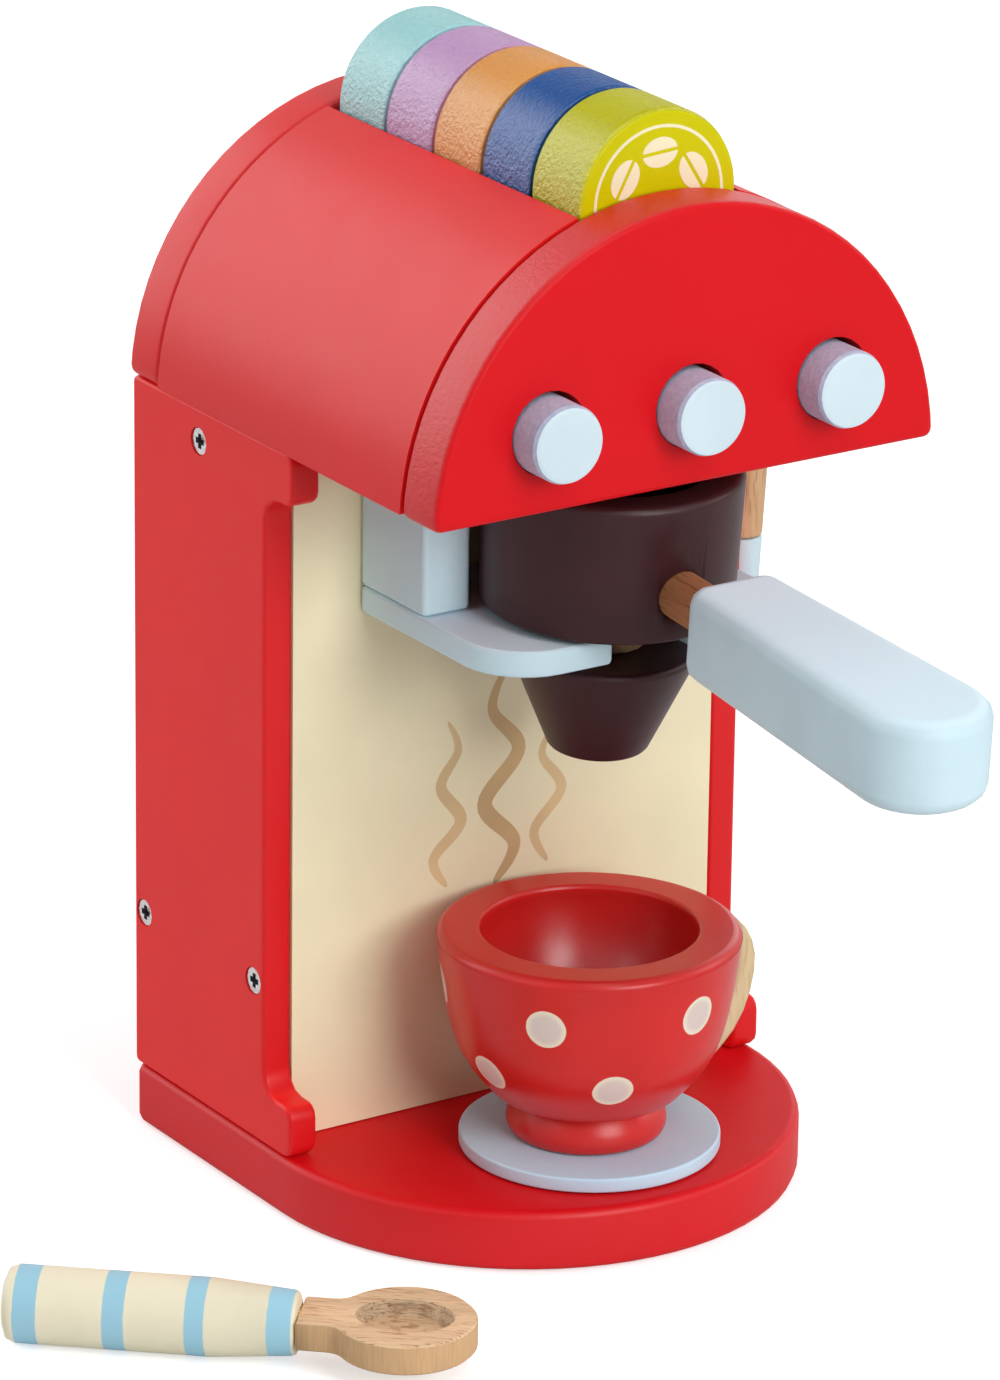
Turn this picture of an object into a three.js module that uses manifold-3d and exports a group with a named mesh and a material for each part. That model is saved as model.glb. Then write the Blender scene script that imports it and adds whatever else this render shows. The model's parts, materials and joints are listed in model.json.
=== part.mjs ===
// A wooden toy coffee maker: a cabinet on a round-fronted base, a half-round roof with a trough of
// coffee pods and three press buttons, a lift-out filter holder, a cup, a scoop and a steam wand.
// Millimetres, +Z up, the front faces -Y. The origin is on the floor, under the centre of the
// base's round front.
import * as THREE from 'three';
import { mergeVertices } from 'three/addons/utils/BufferGeometryUtils.js';
import Module from 'manifold-3d';

const wasm = await Module();
wasm.setup();

// Fits shared by all pieces
const seam = 0.3; // between two faces that are glued or screwed together, or rest on each other
const play = 0.4; // round a piece that slides or turns in another
const overrun = 2; // how far a cutting tool runs past a face

// Base
const baseThickness = 16;
const baseBack = 71.5; // from the round front's centre to the back edge
const baseCorner = 3;
const baseEdge = 2.2;

// Cabinet
const bodyWidth = 141;
const panelThickness = 8;
const panelHeight = 183.6;
const panelDepth = 62.7; // at the recessed front edge
const lugReach = 12.65; // how far the lugs at top and bottom stand out past that edge
const lugHeight = 13.6;
const lugCorner = 3.5;
const lugFillet = 6;
const panelCorner = 1.6;
const panelEdge = 1.2;
const facingThickness = 10;
const backingThickness = 10;
const railHeight = 17;
const railDepth = 16;
const railInset = 23.8; // from the back face to the rail

// Screws: countersunk heads with a cross recess, sunk below the surface
const screwHead = 3.4;
const screwRim = 0.5;
const screwCone = 2;
const screwShank = 1.7;
const screwLength = 24;
const screwTip = 3;
const screwSink = 0.4;
const screwWell = 0.3; // the well is this much wider than the head
const crossLength = 3.8;
const crossWidth = 1.5;
const crossDepth = 1.2;
const sideScrewRise = 42.4; // of the lower side screws, above the base
const footScrewInset = 20.5; // of the screws under the base, from the side panels' inner faces
const footScrewBack = 6.4; // of the rear ones, from the back face
const roofScrewInset = 27.5; // from the side panels' inner faces

// Roof
const roofOverhang = 1.2; // the arch is this much wider than the cabinet, each side
const archDrop = 3.2; // the arch's centre lies this far below the roof's underside
const frontPlateThickness = 15.1;
const backPlateThickness = 14;
const plateEdge = 1.6;
const plateCorner = 2.4;
const frontPlateDrop = 0.9; // the front plate hangs this much below the roof's underside
const shellInset = 0.5; // the shells lie this much inside the plates' rims
const shellThickness = 5;
const roofFloorThickness = 5;
const troughThickness = 5;
const troughFloorShare = 0.3432; // of the way from the plungers up to where the shells' edges meet it

// Pods
const podRadius = 22.3;
const podLength = 21.2;
const podCount = 5;
const podRowPlay = 3.3; // free length of the trough behind the row
const podEdge = 1.4;

// Buttons
const buttonRadius = 9.6;
const buttonProud = 9.6;
const buttonSpacingShare = 0.565; // of the roof's radius
const buttonEdge = 1.5;
const buttonGap = 0.85; // round a button in its hole
const buttonSag = 0.38; // a button hangs this much below and beside the middle of its hole
const plungerLip = 3; // the plunger is this much wider than the button
const plungerGap = 1; // between the plungers and the roof's floor
const plungerThickness = 4;
const plungerStem = 3;
const plungerTail = 5; // of the stem, behind the spring board
const springRoom = 16; // between plunger and spring board
const springBoardThickness = 6;
const springRadius = 5.2;
const springWire = 0.5; // radius
const springBend = 1;
const springCurls = 4;

// Bracket blocks and fork plate
const blockGap = 1.174; // between the blocks and the basket that they stand beside
const blockWidth = 13.4;
const blockDepth = 29.1;
const blockEdge = 1;
const blockCorner = 1.6;
const forkReach = 64; // in front of the facing
const forkThickness = 6.8;
const forkCorner = 17;
const forkSlotPlay = 0.9; // on each side of the holder's collar
const forkSlotSpare = 0.8; // behind it
const forkLip = 1.8;
const forkBackCorner = 1.5;
const forkEdge = 1;

// Filter holder: its play on the fork lets the handle's weight tip it forwards
const holderReach = 43.5; // of its axis, in front of the facing
const holderTilt = THREE.MathUtils.degToRad(4);
const basketWall = 8.1; // round the pod's seat, at the foot
const basketFlare = 0.8; // the basket is this much wider at its top
const basketFloor = 13.6; // from its foot to the floor of the pod's seat
const basketHeadroom = 0.578; // between its high rim and the roof
const basketRim = 2;
const basketEdge = 1;
const podSeatPlay = 0.8;
const collarRadius = 10.3;
const spigotRadius = 6;
const spigotUp = 9;
const spigotDown = 12;
const spoutTop = 24.4;
const spoutTip = 12.3;
const spoutHeight = 27.6;
const spoutEdge = 1.4;
const handleRise = 12; // of the dowel's axis, above the basket's foot
const dowelRadius = 6.1;
const dowelSeat = 6; // in the basket's wall
const dowelDepth = 24; // in the grip
const gripStart = 49.2; // from the holder's axis
const gripLength = 95.1;
const gripNear = 24.8;
const gripFar = 34.9;
const gripThickness = 23.6;
const gripEdge = 4.2;
const gripCorner = 5;
const gripNoseShare = 0.4556; // radius of the far corners, of the width there

// Cup on its drip disc
const discReach = 40.4; // of its centre, in front of the facing
const discRadius = 32.6;
const discThickness = 3.8;
const discEdge = 0.6;
const cupRadius = 37.8;
const cupHeight = 53.6;
const cupSideShares = [
  // of the radius and of the height, from the foot to the rim
  [0.503, 0],
  [0.529, 0.039],
  [0.503, 0.114],
  [0.508, 0.132],
  [0.632, 0.215],
  [0.725, 0.291],
  [0.802, 0.366],
  [0.865, 0.451],
  [0.915, 0.569],
  [0.952, 0.707],
  [0.981, 0.86],
  [1, 0.953],
];
const cupRimEdge = 2.3;
const cupMouth = 27;
const cupMouthEdge = 1;
const cupDepth = 35;
const cupLeft = 0.8; // the cup stands this far off the disc's centre
const cupBack = 0.4;
const cupTurn = THREE.MathUtils.degToRad(11.6);
const earThickness = 8;
const earEdge = 1.8;
const earProud = 19.2; // the ear reaches this far out of the cup
const earOutsideShares = [
  // of the ear's reach from the cup's axis and of the cup's height, from the top end to the lower one
  [0.596, 0.862],
  [0.772, 0.866],
  [0.898, 0.782],
  [0.97, 0.683],
  [1, 0.556],
  [0.972, 0.407],
  [0.895, 0.261],
  [0.772, 0.16],
  [0.632, 0.093],
  [0.509, 0.116],
  [0.404, 0.22],
];
const earInsideShares = [
  [0.404, 0.3],
  [0.596, 0.261],
  [0.744, 0.317],
  [0.846, 0.422],
  [0.884, 0.556],
  [0.856, 0.66],
  [0.789, 0.724],
  [0.684, 0.746],
  [0.596, 0.746],
];
const earCurves = 16; // chords along each side of the ear

// Scoop
const scoopLeft = 163.7; // of the handle's butt, from the machine's middle
const scoopFront = 26.1;
const scoopTurn = THREE.MathUtils.degToRad(-41.1);
const scoopRadius = 9.5;
const scoopNeckRadius = 7.8;
const scoopHandleLength = 71;
const scoopStraight = 50;
const scoopShoulder = 16; // radius of the bend where the taper starts
const scoopButt = 3;
const scoopEnd = 1.4;
const bowlRadius = 17.3;
const neckLength = 8.2; // from the handle's end to the bowl
const bowlThickness = 7.7;
const bowlEdge = 0.7;
const neckWidth = 15.4;
const neckFillet = 4.5;
const recessLength = 24;
const recessWidth = 18.6;
const recessDepth = 4.6;
const tenonRadius = 3.5;
const tenonLength = 12;

// Steam wand
const wandOut = 7.5; // of its axis, from the side panel
const wandBack = 52.1; // from the back face
const wandPivotDrop = 15.9; // below the side panel's top
const wandTopRadius = 7;
const wandSeamRadius = 5.1;
const wandTipRadius = 3.4;
const wandCrown = 8; // above the pivot
const wandHandleDrop = 36.6; // from the pivot to the seam
const wandTipLength = 33;
const wandEdge = 2.6;
const wandSeamEdge = 0.8;
const wandTipEdge = 0.4;
const wandPointEdge = 1.6;
const wandSpigot = 2.6;
const wandSpigotLength = 9;
const pegRadius = 3;
const pegSunk = 7; // in the side panel
const pegHead = 5.4;
const pegHeadThickness = 3;
const pegHeadEdge = 1;

// Facets round a turned piece or a bore
const fine = 36;
const medium = 24;
const plain = 18;
const coarse = 12;

// Sizes and places worked out from the sizes above
const baseRadius = bodyWidth / 2;
const backFace = baseBack;
const facingFace = backFace - panelDepth;
const panelBase = baseThickness + seam;
const panelTop = panelBase + panelHeight;
const roofUnderside = panelTop + seam;
const panelInner = bodyWidth / 2 - panelThickness;
const roofRadius = bodyWidth / 2 + roofOverhang;
const shellLength = podCount * (podLength + seam) + podRowPlay;
const plateInner = backFace - backPlateThickness - shellLength - 2 * seam;
const shellOuter = roofRadius - shellInset;
const shellInner = shellOuter - shellThickness;
const buttonSpacing = buttonSpacingShare * roofRadius;
const plungerRadius = buttonRadius + plungerLip;
const buttonRise = roofFloorThickness + plungerGap + plungerRadius; // above the roof's underside
const troughHalf = podRadius + play;
const troughOuter = troughHalf + troughThickness;
const troughLowest = buttonRise + plungerRadius + troughThickness;
const troughFloor = troughLowest + troughFloorShare * (crownOver(troughOuter) - troughLowest);
const podRise = troughFloor + seam + podRadius; // of the row's axis, above the roof's underside
const seatRadius = podRadius + podSeatPlay;
const basketFoot = seatRadius + basketWall;
const basketTop = basketFoot + basketFlare;
const basketHeight = basketFloor + podLength + podSeatPlay;
const holderY = facingFace - holderReach;
const holderLean = Math.sin(holderTilt);
const holderLift = seam + basketFoot * holderLean;
const holderHeight = holderLift + basketHeight * Math.cos(holderTilt) + basketTop * holderLean;
const blockHeight = holderHeight + basketHeadroom;
const besideBlocks = Math.sqrt(basketTop ** 2 - (holderReach - seam - blockDepth) ** 2);
const blockSpacing = 2 * (besideBlocks + blockGap); // between the blocks' inner faces
const forkWidth = blockSpacing + 2 * blockWidth;
const forkSlot = 2 * (collarRadius + forkSlotPlay);
const collarLength = forkThickness + (basketFoot + spoutTop) * holderLean;
const discY = facingFace - discReach;
const forkTop = panelTop - blockHeight - seam;
const railY = backFace - railInset - railDepth / 2;
const railZ = panelTop - railHeight / 2;
const bowlReach = scoopHandleLength + neckLength + bowlRadius; // of the bowl's centre, from the butt

// Finishes: colour, roughness, metalness
const redPaint = [0xd42a2c, 0.42, 0];
const creamPaint = [0xe6d7b4, 0.55, 0];
const bluePaint = [0xc8dee6, 0.5, 0];
const discPaint = [0xc3cdd7, 0.55, 0];
const darkPaint = [0x422a2c, 0.45, 0];
const beech = [0xcda073, 0.65, 0];
const plywood = [0xd9bd90, 0.75, 0];
const scoopPaint = [0xe8e0ca, 0.5, 0];
const steel = [0xb9bcc0, 0.35, 1];
const podPaints = [0xa5d7d7, 0xbe96c8, 0xe6a064, 0x3c5aa0, 0xc8c814].map((colour) => [colour, 0.6, 0]);

const at = (x, y, z) => new THREE.Vector3(x, y, z);

// Under the shells: half the free width at a height above the roof's underside, and the free height
// above it at a distance from the middle.
function underShell(height) {
  return Math.sqrt((shellInner - seam) ** 2 - (height + archDrop) ** 2);
}

function crownOver(x) {
  return Math.sqrt((shellInner - seam) ** 2 - x ** 2) - archDrop;
}

// Corner points [x, y, radius, chords] of an outline or a turned profile; a corner with a radius
// becomes an arc of that many chords, or else of `steps`. An open profile keeps its ends sharp.
function rounded(corners, steps = 3, closed = true) {
  const count = corners.length;
  return corners.flatMap(([x, y, radius = 0, chords = steps], index) => {
    const here = new THREE.Vector2(x, y);
    const end = !closed && (index === 0 || index === count - 1);
    if (radius === 0 || end) return [here];
    const [beforeX, beforeY] = corners[(index + count - 1) % count];
    const [afterX, afterY] = corners[(index + 1) % count];
    const toBefore = new THREE.Vector2(beforeX - x, beforeY - y).normalize();
    const toAfter = new THREE.Vector2(afterX - x, afterY - y).normalize();
    const half = Math.acos(toBefore.dot(toAfter)) / 2;
    const middle = toBefore.clone().add(toAfter).normalize();
    const centre = here.clone().addScaledVector(middle, radius / Math.sin(half));
    const tangent = radius / Math.tan(half);
    const first = here.clone().addScaledVector(toBefore, tangent).sub(centre).angle();
    const last = here.clone().addScaledVector(toAfter, tangent).sub(centre).angle();
    const turn = Math.atan2(Math.sin(last - first), Math.cos(last - first));
    return Array.from({ length: chords + 1 }, (_, step) => {
      const angle = first + (turn * step) / chords;
      return new THREE.Vector2(Math.cos(angle), Math.sin(angle)).multiplyScalar(radius).add(centre);
    });
  });
}

// Points on an arc round (x, y), both ends included.
function arc(x, y, radius, from, to, steps) {
  return Array.from({ length: steps + 1 }, (_, step) => {
    const angle = from + ((to - from) * step) / steps;
    return new THREE.Vector2(x + radius * Math.cos(angle), y + radius * Math.sin(angle));
  });
}

const rectangle = (width, depth, corner = 0) =>
  rounded([
    [-width / 2, -depth / 2, corner],
    [width / 2, -depth / 2, corner],
    [width / 2, depth / 2, corner],
    [-width / 2, depth / 2, corner],
  ]);

// A board that lies flat: its outline in X and Y, its thickness upwards from 0, its edges rounded.
function flat(points, thickness, edge = 0, steps = 2) {
  const rim = { bevelEnabled: edge > 0, bevelThickness: edge, bevelSize: edge, bevelOffset: -edge };
  const options = { depth: thickness - 2 * edge, bevelSegments: steps, ...rim };
  return new THREE.ExtrudeGeometry(new THREE.Shape(points), options).translate(0, 0, edge);
}

// The same with its outline in X and Z, its thickness running forwards (-Y) from 0.
const upright = (points, thickness, edge, steps) => flat(points, thickness, edge, steps).rotateX(Math.PI / 2);

// The same with its outline in Y and Z, its thickness running along +X from 0.
function sideways(points, thickness, edge, steps) {
  const turn = new THREE.Matrix4().makeBasis(at(0, 1, 0), at(0, 0, 1), at(1, 0, 0));
  return flat(points, thickness, edge, steps).applyMatrix4(turn);
}

// A turned piece round Z: its profile holds [radius, height, corner radius].
function turned(corners, segments = fine, steps = 2) {
  return new THREE.LatheGeometry(rounded(corners, steps, false), segments).rotateX(Math.PI / 2);
}

// A straight round rod between two points, used for pegs and to drill holes.
function rod(radius, from, to, segments = medium) {
  const along = to.clone().sub(from);
  const geometry = new THREE.CylinderGeometry(radius, radius, along.length(), segments);
  geometry.applyQuaternion(new THREE.Quaternion().setFromUnitVectors(at(0, 1, 0), along.normalize()));
  const middle = from.clone().add(to).divideScalar(2);
  return geometry.translate(middle.x, middle.y, middle.z);
}

function toSolid(geometry) {
  const bare = geometry.clone();
  bare.deleteAttribute('normal');
  bare.deleteAttribute('uv');
  const merged = mergeVertices(bare);
  const corners = merged.index.array;
  const kept = [];
  for (let first = 0; first < corners.length; first += 3) {
    const [a, b, c] = corners.slice(first, first + 3);
    if (a !== b && b !== c && c !== a) kept.push(a, b, c);
  }
  const triVerts = Uint32Array.from(kept);
  const vertProperties = Float32Array.from(merged.attributes.position.array);
  return new wasm.Manifold(new wasm.Mesh({ numProp: 3, vertProperties, triVerts }));
}

function toGeometry(solid) {
  const { vertProperties, triVerts } = solid.getMesh();
  const geometry = new THREE.BufferGeometry();
  geometry.setAttribute('position', new THREE.BufferAttribute(vertProperties, 3));
  geometry.setIndex(new THREE.BufferAttribute(triVerts, 1));
  return geometry;
}

const cut = (geometry, tools) =>
  toGeometry(tools.reduce((solid, tool) => solid.subtract(toSolid(tool)), toSolid(geometry)));

const join = (...geometries) => toGeometry(geometries.map(toSolid).reduce((all, next) => all.add(next)));

// One named piece at its place. Tools are given in the frame that the place is given in.
function piece(name, [color, roughness, metalness], geometry, place = at(0, 0, 0), tools = []) {
  const moved = tools.map((tool) => tool.clone().translate(-place.x, -place.y, -place.z));
  const shape = tools.length > 0 ? cut(geometry, moved) : geometry;
  const mesh = new THREE.Mesh(shape, new THREE.MeshStandardMaterial({ color, roughness, metalness }));
  mesh.name = name;
  mesh.position.copy(place);
  return mesh;
}

// Screws: each is a place for the middle of its head and the direction that the head faces.
const turnTo = (facing) => new THREE.Quaternion().setFromUnitVectors(at(0, 0, 1), facing);

function screw(name, { place, facing }) {
  const body = turned(
    [
      [0, -screwLength],
      [screwShank, screwTip - screwLength],
      [screwShank, -screwRim - screwCone],
      [screwHead, -screwRim],
      [screwHead, 0],
      [0, 0],
    ],
    coarse,
  );
  const slots = [0, Math.PI / 2].map((angle) =>
    new THREE.BoxGeometry(crossLength, crossWidth, 2 * crossDepth).rotateZ(angle),
  );
  const mesh = piece(name, steel, cut(body, slots), place);
  mesh.quaternion.copy(turnTo(facing));
  return mesh;
}

// The hole for a screw, from its well at the surface to just past its tip.
function screwHole({ place, facing }) {
  const shank = screwShank + seam;
  const well = screwHead + screwWell;
  const hole = turned(
    [
      [0, -screwLength - seam],
      [shank, -screwLength - seam],
      [shank, -screwRim - screwCone - seam],
      [well, -screwRim - seam],
      [well, screwSink + overrun],
      [0, screwSink + overrun],
    ],
    coarse,
  );
  return hole.applyQuaternion(turnTo(facing)).translate(place.x, place.y, place.z);
}

function sideScrews(side) {
  const facing = at(side, 0, 0);
  const x = side * (bodyWidth / 2 - screwSink);
  const low = baseThickness + sideScrewRise;
  return [
    { place: at(x, railY, railZ), facing },
    { place: at(x, backFace - backingThickness / 2, low), facing },
    { place: at(x, facingFace + facingThickness / 2, low), facing },
  ];
}

function footScrews(side) {
  const x = side * (panelInner - footScrewInset);
  const rows = [backFace - footScrewBack, facingFace + facingThickness / 2];
  return rows.map((y) => ({ place: at(x, y, screwSink), facing: at(0, 0, -1) }));
}

const blockX = (blockSpacing + blockWidth) / 2;
const blockY = facingFace - seam - blockDepth / 2;
const forkScrews = [-1, 1].map((side) => ({
  place: at(side * blockX, blockY, forkTop - forkThickness + screwSink),
  facing: at(0, 0, -1),
}));

const roofScrews = [-1, 1].map((side) => ({
  place: at(side * (panelInner - roofScrewInset), railY, roofUnderside + roofFloorThickness - screwSink),
  facing: at(0, 0, 1),
}));

const allSideScrews = [...sideScrews(-1), ...sideScrews(1)];
const allFootScrews = [...footScrews(-1), ...footScrews(1)];

// Base and cabinet

function basePlate() {
  const front = arc(0, 0, baseRadius, Math.PI, 2 * Math.PI, fine);
  const back = rounded([
    [baseRadius, 0],
    [baseRadius, baseBack, baseCorner],
    [-baseRadius, baseBack, baseCorner],
    [-baseRadius, 0],
  ]).slice(1, -1);
  const board = flat([...front, ...back], baseThickness, baseEdge);
  return piece('base_plate', redPaint, board, at(0, 0, 0), allFootScrews.map(screwHole));
}

function sidePanel(name, side) {
  const lugFront = facingFace - lugReach;
  const outline = rounded([
    [backFace, 0, panelCorner],
    [backFace, panelHeight, panelCorner],
    [lugFront, panelHeight, lugCorner],
    [lugFront, panelHeight - lugHeight, lugCorner],
    [facingFace, panelHeight - lugHeight, lugFillet],
    [facingFace, lugHeight, lugFillet],
    [lugFront, lugHeight, lugCorner],
    [lugFront, 0, lugCorner],
  ]);
  const board = sideways(outline, panelThickness, panelEdge);
  const left = side < 0 ? -bodyWidth / 2 : panelInner;
  const holes = sideScrews(side).map(screwHole);
  if (side > 0) holes.push(pegHole());
  return piece(name, redPaint, board, at(left, 0, panelBase), holes);
}

// A board between the side panels, as deep as the cabinet's front or back wall.
function crossBoard(name, finish, height, thickness, y, z) {
  const board = upright(rectangle(2 * (panelInner - seam), height), thickness);
  const holes = [...allSideScrews, ...allFootScrews, ...roofScrews].map(screwHole);
  return piece(name, finish, board, at(0, y, z + height / 2), holes);
}

function crossBoards() {
  const facingBack = facingFace + facingThickness;
  const railBack = railY + railDepth / 2;
  return [
    crossBoard('front_panel', creamPaint, panelHeight, facingThickness, facingBack, panelBase),
    crossBoard('back_panel', redPaint, panelHeight, backingThickness, backFace, panelBase),
    crossBoard('top_rail', plywood, railHeight, railDepth, railBack, panelTop - railHeight),
  ];
}

// Roof, in a group whose floor is the roof's underside

const archFoot = (radius, drop = 0) => Math.asin((archDrop - drop) / radius);

function roofPlate(name, thickness, place, drop, tools) {
  const foot = archFoot(roofRadius, drop);
  const arch = arc(0, -archDrop, roofRadius, foot, Math.PI - foot, fine);
  const outline = rounded(arch.map(({ x, y }, index) => [x, y, index % fine === 0 ? plateCorner : 0]));
  return piece(name, redPaint, upright(outline, thickness, plateEdge), place, tools);
}

const buttonPlaces = [-1, 0, 1].map((step) => step * buttonSpacing);

function frontPlate() {
  const holes = buttonPlaces.map((x) => {
    const middle = at(x + buttonSag, 0, buttonRise + buttonSag);
    const reach = frontPlateThickness + overrun;
    const from = middle.clone().setY(plateInner - reach);
    return rod(buttonRadius + buttonGap, from, middle.clone().setY(plateInner + overrun));
  });
  return roofPlate('roof_front_plate', frontPlateThickness, at(0, plateInner, 0), frontPlateDrop, holes);
}

function roofShell(name, side) {
  const slotOuter = Math.acos(troughHalf / shellOuter);
  const slotInner = Math.acos(troughHalf / shellInner);
  const outside = arc(0, -archDrop, shellOuter, archFoot(shellOuter), slotOuter, fine / 2);
  const inside = arc(0, -archDrop, shellInner, slotInner, archFoot(shellInner), fine / 2);
  const points = [...outside, ...inside].map(({ x, y }) => new THREE.Vector2(side * x, y));
  return piece(name, redPaint, upright(points, shellLength), at(0, plateInner + seam + shellLength, 0));
}

function roofFloor() {
  const width = 2 * underShell(roofFloorThickness);
  const board = flat(rectangle(width, shellLength), roofFloorThickness);
  const place = at(0, plateInner + seam + shellLength / 2, 0);
  const holes = roofScrews.map((item) => screwHole(item).translate(0, 0, -roofUnderside));
  return piece('roof_floor', redPaint, board, place, holes);
}

function troughPieces() {
  const middle = at(0, plateInner + seam + shellLength, 0);
  const floor = upright(rectangle(2 * troughOuter, troughThickness), shellLength);
  const wall = (side) =>
    [
      [troughHalf, troughFloor + seam],
      [troughOuter, troughFloor + seam],
      [troughOuter, crownOver(troughOuter)],
      [troughHalf, crownOver(troughHalf)],
    ].map(([x, z]) => new THREE.Vector2(side * x, z));
  return [
    piece('trough_floor', plywood, floor, middle.clone().setZ(troughFloor - troughThickness / 2)),
    piece('trough_wall_left', plywood, upright(wall(-1), shellLength), middle),
    piece('trough_wall_right', plywood, upright(wall(1), shellLength), middle),
  ];
}

const plungerBack = plateInner + seam + plungerThickness;

function springBoard() {
  const foot = roofFloorThickness + seam;
  const head = troughFloor - troughThickness - seam;
  const board = upright(rectangle(2 * underShell(head), head - foot), springBoardThickness);
  const back = plungerBack + springRoom + springBoardThickness;
  const holes = buttonPlaces.map((x) => {
    const front = at(x, plungerBack, buttonRise);
    return rod(plungerStem + seam, front, at(x, back + overrun, buttonRise), coarse);
  });
  return piece('spring_board', plywood, board, at(0, back, (foot + head) / 2), holes);
}

// Buttons: a cap through the front plate, a plunger behind it and a spring round the plunger's stem

function buttonCap() {
  const length = frontPlateThickness + buttonProud;
  return turned(
    [
      [0, 0],
      [buttonRadius, 0],
      [buttonRadius, length, buttonEdge],
      [0, length],
    ],
    medium,
  );
}

function plunger() {
  const stem = springRoom + springBoardThickness + plungerTail;
  return turned(
    [
      [0, -plungerThickness - stem],
      [plungerStem, -plungerThickness - stem],
      [plungerStem, -plungerThickness],
      [plungerRadius, -plungerThickness],
      [plungerRadius, 0],
      [0, 0],
    ],
    plain,
  );
}

// The spring's centre line: straight square ends, a short bend, and even curls between them.
function springLine() {
  const wire = 2 * springWire;
  const length = springRoom - 2 * seam;
  const lead = wire + springBend;
  const bend = (sign, turn, height) =>
    [0, 1, 2].map((step) => {
      const angle = (step * Math.PI) / 6;
      const side = -sign * springBend * Math.cos(angle);
      const rise = height - sign * springBend * (1 - Math.sin(angle));
      return at(springRadius, side, rise).applyAxisAngle(at(0, 0, 1), turn);
    });
  const curlSteps = 8 * springCurls;
  const curls = Array.from({ length: curlSteps + 1 }, (_, step) => {
    const share = step / curlSteps;
    const height = lead + share * (length - 2 * lead);
    return at(springRadius, 0, height).applyAxisAngle(at(0, 0, 1), share * springCurls * 2 * Math.PI);
  });
  const start = at(springRadius, -springBend, 0);
  const lastTurn = springCurls * 2 * Math.PI;
  const end = at(springRadius, springBend, length).applyAxisAngle(at(0, 0, 1), lastTurn);
  return [start, ...bend(1, 0, lead), ...curls, ...bend(-1, lastTurn, length - lead).reverse(), end];
}

// A tube of five sides along a line of points, closed at both ends.
function tube(line, radius) {
  const sides = 5;
  const positions = [];
  const faces = [];
  line.forEach((point, index) => {
    const before = line[Math.max(index - 1, 0)];
    const after = line[Math.min(index + 1, line.length - 1)];
    const along = after.clone().sub(before).normalize();
    const level = point.clone().setZ(0);
    const outward = level.addScaledVector(along, -level.dot(along)).normalize();
    const across = along.clone().cross(outward);
    for (let side = 0; side < sides; side += 1) {
      const angle = (side * 2 * Math.PI) / sides;
      const spot = point.clone().addScaledVector(outward, radius * Math.cos(angle));
      positions.push(...spot.addScaledVector(across, radius * Math.sin(angle)).toArray());
      if (index === 0) continue;
      const [low, high] = [(index - 1) * sides + side, (index - 1) * sides + ((side + 1) % sides)];
      faces.push(low, high, high + sides, low, high + sides, low + sides);
    }
  });
  const last = (line.length - 1) * sides;
  for (let side = 1; side < sides - 1; side += 1) {
    faces.push(0, side + 1, side, last, last + side, last + side + 1);
  }
  const geometry = new THREE.BufferGeometry();
  geometry.setAttribute('position', new THREE.Float32BufferAttribute(positions, 3));
  geometry.setIndex(faces);
  return geometry;
}

// The least clear distance between one curl of the spring and the next.
function leastGap(line) {
  const perCurl = 8;
  let least = Infinity;
  for (let first = 0; first < line.length; first += 1) {
    for (let second = first + perCurl - 2; second < line.length; second += 1) {
      least = Math.min(least, line[first].distanceTo(line[second]) - 2 * springWire);
    }
  }
  return least;
}

function buttons() {
  const names = ['left', 'middle', 'right'];
  const line = springLine();
  console.log(`least gap between the curls of a button spring: ${leastGap(line).toFixed(2)} mm`);
  const spring = tube(line, springWire);
  return buttonPlaces.flatMap((x, index) => {
    const parts = [
      piece(`button_cap_${names[index]}`, bluePaint, buttonCap(), at(x, plateInner, buttonRise)),
      piece(`button_plunger_${names[index]}`, beech, plunger(), at(x, plateInner + seam, buttonRise)),
      piece(`button_spring_${names[index]}`, steel, spring, at(x, plungerBack + seam, buttonRise)),
    ];
    parts[0].rotation.x = Math.PI / 2;
    parts[1].rotation.x = Math.PI / 2;
    parts[2].rotation.x = -Math.PI / 2;
    return parts;
  });
}

// Pods, numbered from the back of the trough to the front

function pods() {
  const pod = turned([
    [0, 0],
    [podRadius, 0, podEdge],
    [podRadius, podLength, podEdge],
    [0, podLength],
  ]);
  return podPaints.slice(0, podCount).map((paint, index) => {
    const fromFront = podCount - index;
    const y = plateInner + fromFront * (podLength + seam);
    const mesh = piece(`pod_${index + 1}`, paint, pod, at(0, y, podRise));
    mesh.rotation.x = Math.PI / 2;
    return mesh;
  });
}

// Bracket blocks and the fork plate that carries the filter holder

function bracketBlock(name, side) {
  const block = flat(rectangle(blockWidth, blockDepth, blockCorner), blockHeight, blockEdge);
  const place = at(side * blockX, blockY, panelTop - blockHeight);
  return piece(name, bluePaint, block, place, forkScrews.map(screwHole));
}

function forkPlate() {
  const back = facingFace - seam;
  const front = facingFace - forkReach;
  const slotEnd = holderY + forkSlot / 2 + forkSlotSpare;
  const outline = rounded(
    [
      [-forkWidth / 2, back, forkBackCorner],
      [-forkWidth / 2, front, forkCorner, 8],
      [-forkSlot / 2, front, forkLip],
      [-forkSlot / 2, slotEnd, forkSlot / 2, 6],
      [forkSlot / 2, slotEnd, forkSlot / 2, 6],
      [forkSlot / 2, front, forkLip],
      [forkWidth / 2, front, forkCorner, 8],
      [forkWidth / 2, back, forkBackCorner],
    ],
  );
  const plate = flat(outline, forkThickness, forkEdge, 2);
  return piece('fork_plate', bluePaint, plate, at(0, 0, forkTop - forkThickness), forkScrews.map(screwHole));
}

// Filter holder, in a group at the middle of the basket's foot, its handle along -Y

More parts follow.
